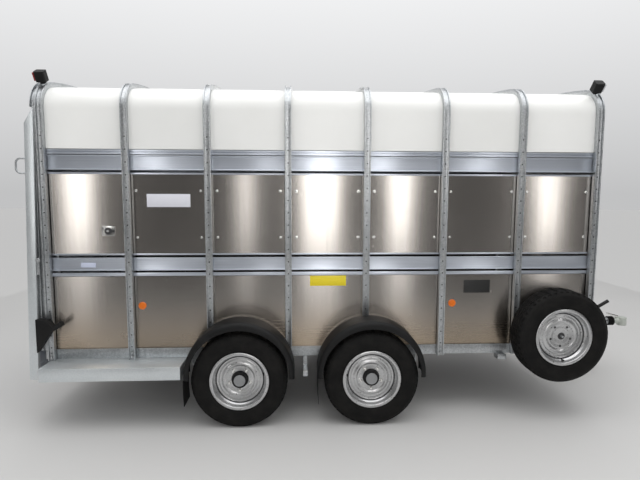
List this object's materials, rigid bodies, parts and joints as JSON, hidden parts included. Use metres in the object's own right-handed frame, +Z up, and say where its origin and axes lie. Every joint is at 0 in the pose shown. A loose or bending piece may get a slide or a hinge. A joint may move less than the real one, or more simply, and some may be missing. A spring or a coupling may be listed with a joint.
{
  "type": "livestock trailer",
  "caption": "Twin-axle livestock trailer with hooped box body, vented aluminium sides, loading ramp, spare wheel, jockey wheel and overrun coupling.",
  "frame": {"origin": "on the ground on the centre line, midway between the rearmost grab loop and the nose of the coupling", "axes": "+X forwards to the coupling, +Y to the trailer's left, +Z up"},
  "size_m": [5.4691, 2.28, 2.6934],
  "materials": {
    "deck_board": "dark phenolic-faced board",
    "galvanised": "hot-dip galvanised with spangle",
    "dark_steel": "black paint, semi-gloss",
    "aluminium": "mill-finish brushed sheet",
    "bright_zinc": "bright zinc plate",
    "orange_lens": "moulded reflector",
    "roof_plastic": "smooth white glass-reinforced plastic",
    "black_rubber": "moulded black rubber",
    "red_lens": "moulded lens",
    "clear_lens": "moulded lens",
    "mudguard_plastic": "black moulded plastic",
    "tyre_rubber": "black tyre rubber",
    "silver_paint": "silver wheel paint",
    "hub_grey": "grey cap over a dark drum",
    "cast_head": "pale grey-green cast finish"
  },
  "bodies": {
    "trailer": {"side_rails": "galvanised", "cross_members": "galvanised", "floor_deck": "deck_board", "drawbar": "galvanised", "hoop_uprights": "galvanised", "roof_bows": "galvanised", "lower_panels": "aluminium", "upper_panels": "aluminium", "side_bands": "aluminium", "panel_bolts": "bright_zinc", "side_reflectors": "orange_lens", "latch_plate": "bright_zinc", "roof_shell": "roof_plastic", "front_upper_panel": "roof_plastic", "front_lower_panel": "aluminium", "rear_frame": "galvanised", "side_shelves": "galvanised", "lamp_bodies": "black_rubber", "red_lenses": "red_lens", "white_lenses": "clear_lens", "mudguards": "mudguard_plastic", "mud_flaps": "black_rubber", "axle_beams": "galvanised", "leaf_springs": "dark_steel", "chassis_brackets": "galvanised", "spare_tyre": "tyre_rubber", "spare_rim": "silver_paint", "spare_carrier": "galvanised", "overrun_housing": "galvanised", "jockey_tube": "galvanised"},
    "wheel_rear_right": {"tyre_rear_right": "tyre_rubber", "rim_rear_right": "silver_paint", "hub_rear_right": "hub_grey"},
    "wheel_rear_left": {"tyre_rear_left": "tyre_rubber", "rim_rear_left": "silver_paint", "hub_rear_left": "hub_grey"},
    "wheel_front_right": {"tyre_front_right": "tyre_rubber", "rim_front_right": "silver_paint", "hub_front_right": "hub_grey"},
    "wheel_front_left": {"tyre_front_left": "tyre_rubber", "rim_front_left": "silver_paint", "hub_front_left": "hub_grey"},
    "ramp": {"ramp_channels": "galvanised", "ramp_panel": "aluminium", "ramp_bars": "aluminium", "ramp_fittings": "galvanised"},
    "catch_right": {"ramp_catch_right": "galvanised"},
    "catch_left": {"ramp_catch_left": "galvanised"},
    "gate_right": {"gate_right": "galvanised"},
    "gate_left": {"gate_left": "galvanised"},
    "latch": {"latch_handle": "bright_zinc"},
    "coupling": {"draw_tube": "dark_steel", "gaiter": "black_rubber", "coupling_head": "cast_head"},
    "coupling_lever": {"coupling_handle": "bright_zinc"},
    "handbrake": {"handbrake_lever": "dark_steel"},
    "jockey_leg": {"jockey_leg": "galvanised"},
    "jockey_fork": {"jockey_fork": "galvanised"},
    "jockey_wheel": {"jockey_wheel": "black_rubber"},
    "jockey_crank": {"jockey_crank": "galvanised"}
  },
  "joints": [
    {"name": "wheel_rear_right_spin", "type": "hinge", "parent": "trailer", "child": "wheel_rear_right", "pos_m": [-1.08, -1.035, 0.364], "axis": [0, 1, 0], "continuous": true},
    {"name": "wheel_rear_left_spin", "type": "hinge", "parent": "trailer", "child": "wheel_rear_left", "pos_m": [-1.08, 1.035, 0.364], "axis": [0, 1, 0], "continuous": true},
    {"name": "wheel_front_right_spin", "type": "hinge", "parent": "trailer", "child": "wheel_front_right", "pos_m": [-0.072, -1.035, 0.364], "axis": [0, 1, 0], "continuous": true},
    {"name": "wheel_front_left_spin", "type": "hinge", "parent": "trailer", "child": "wheel_front_left", "pos_m": [-0.072, 1.035, 0.364], "axis": [0, 1, 0], "continuous": true},
    {"name": "ramp_hinge", "type": "hinge", "parent": "trailer", "child": "ramp", "pos_m": [-2.63043, 0, 0.45452], "axis": [0, -1, 0], "range_deg": [0, 102.5]},
    {"name": "ramp_catch_right_turn", "type": "hinge", "parent": "trailer", "child": "catch_right", "pos_m": [-2.595, -0.9455, 1.27], "axis": [0, 1, 0], "range_deg": [0, 90]},
    {"name": "ramp_catch_left_turn", "type": "hinge", "parent": "trailer", "child": "catch_left", "pos_m": [-2.595, 0.9455, 1.27], "axis": [0, 1, 0], "range_deg": [0, 90]},
    {"name": "gate_right_swing", "type": "hinge", "parent": "trailer", "child": "gate_right", "pos_m": [-2.496, -0.85, 1.21], "axis": [0, 0, -1], "range_deg": [0, 90]},
    {"name": "gate_left_swing", "type": "hinge", "parent": "trailer", "child": "gate_left", "pos_m": [-2.496, 0.85, 1.21], "axis": [0, 0, 1], "range_deg": [0, 90]},
    {"name": "latch_turn", "type": "hinge", "parent": "trailer", "child": "latch", "pos_m": [-2.085, -0.904, 1.488], "axis": [0, 1, 0], "range_deg": [0, 90]},
    {"name": "overrun_slide", "type": "slide", "parent": "trailer", "child": "coupling", "axis": [1, 0, 0], "range_m": [-0.055, 0]},
    {"name": "coupling_handle_lift", "type": "hinge", "parent": "coupling", "child": "coupling_lever", "pos_m": [2.626, 0, 0.54], "axis": [0, 1, 0], "range_deg": [0, 40], "stiffness_Nm_per_rad": 4, "springref_deg": -5.73},
    {"name": "handbrake_pull", "type": "hinge", "parent": "trailer", "child": "handbrake", "pos_m": [2.15, -0.06, 0.515], "axis": [0, -1, 0], "range_deg": [0, 45]},
    {"name": "jockey_leg_slide", "type": "slide", "parent": "trailer", "child": "jockey_leg", "axis": [0, 0, 1], "range_m": [-0.08, 0.11]},
    {"name": "jockey_fork_swivel", "type": "hinge", "parent": "jockey_leg", "child": "jockey_fork", "pos_m": [2.36, 0.1, 0.23], "axis": [0, 0, 1], "continuous": true},
    {"name": "jockey_wheel_spin", "type": "hinge", "parent": "jockey_fork", "child": "jockey_wheel", "pos_m": [2.32, 0.1, 0.1], "axis": [0, 1, 0], "continuous": true},
    {"name": "jockey_crank_turn", "type": "hinge", "parent": "trailer", "child": "jockey_crank", "pos_m": [2.36, 0.1, 0.64], "axis": [0, 0, 1], "range_deg": [-4800, 6600]}
  ],
  "couplings": [
    {"joint": "jockey_crank_turn", "follows": "jockey_leg_slide", "rad_per_m": 1047.2}
  ]
}
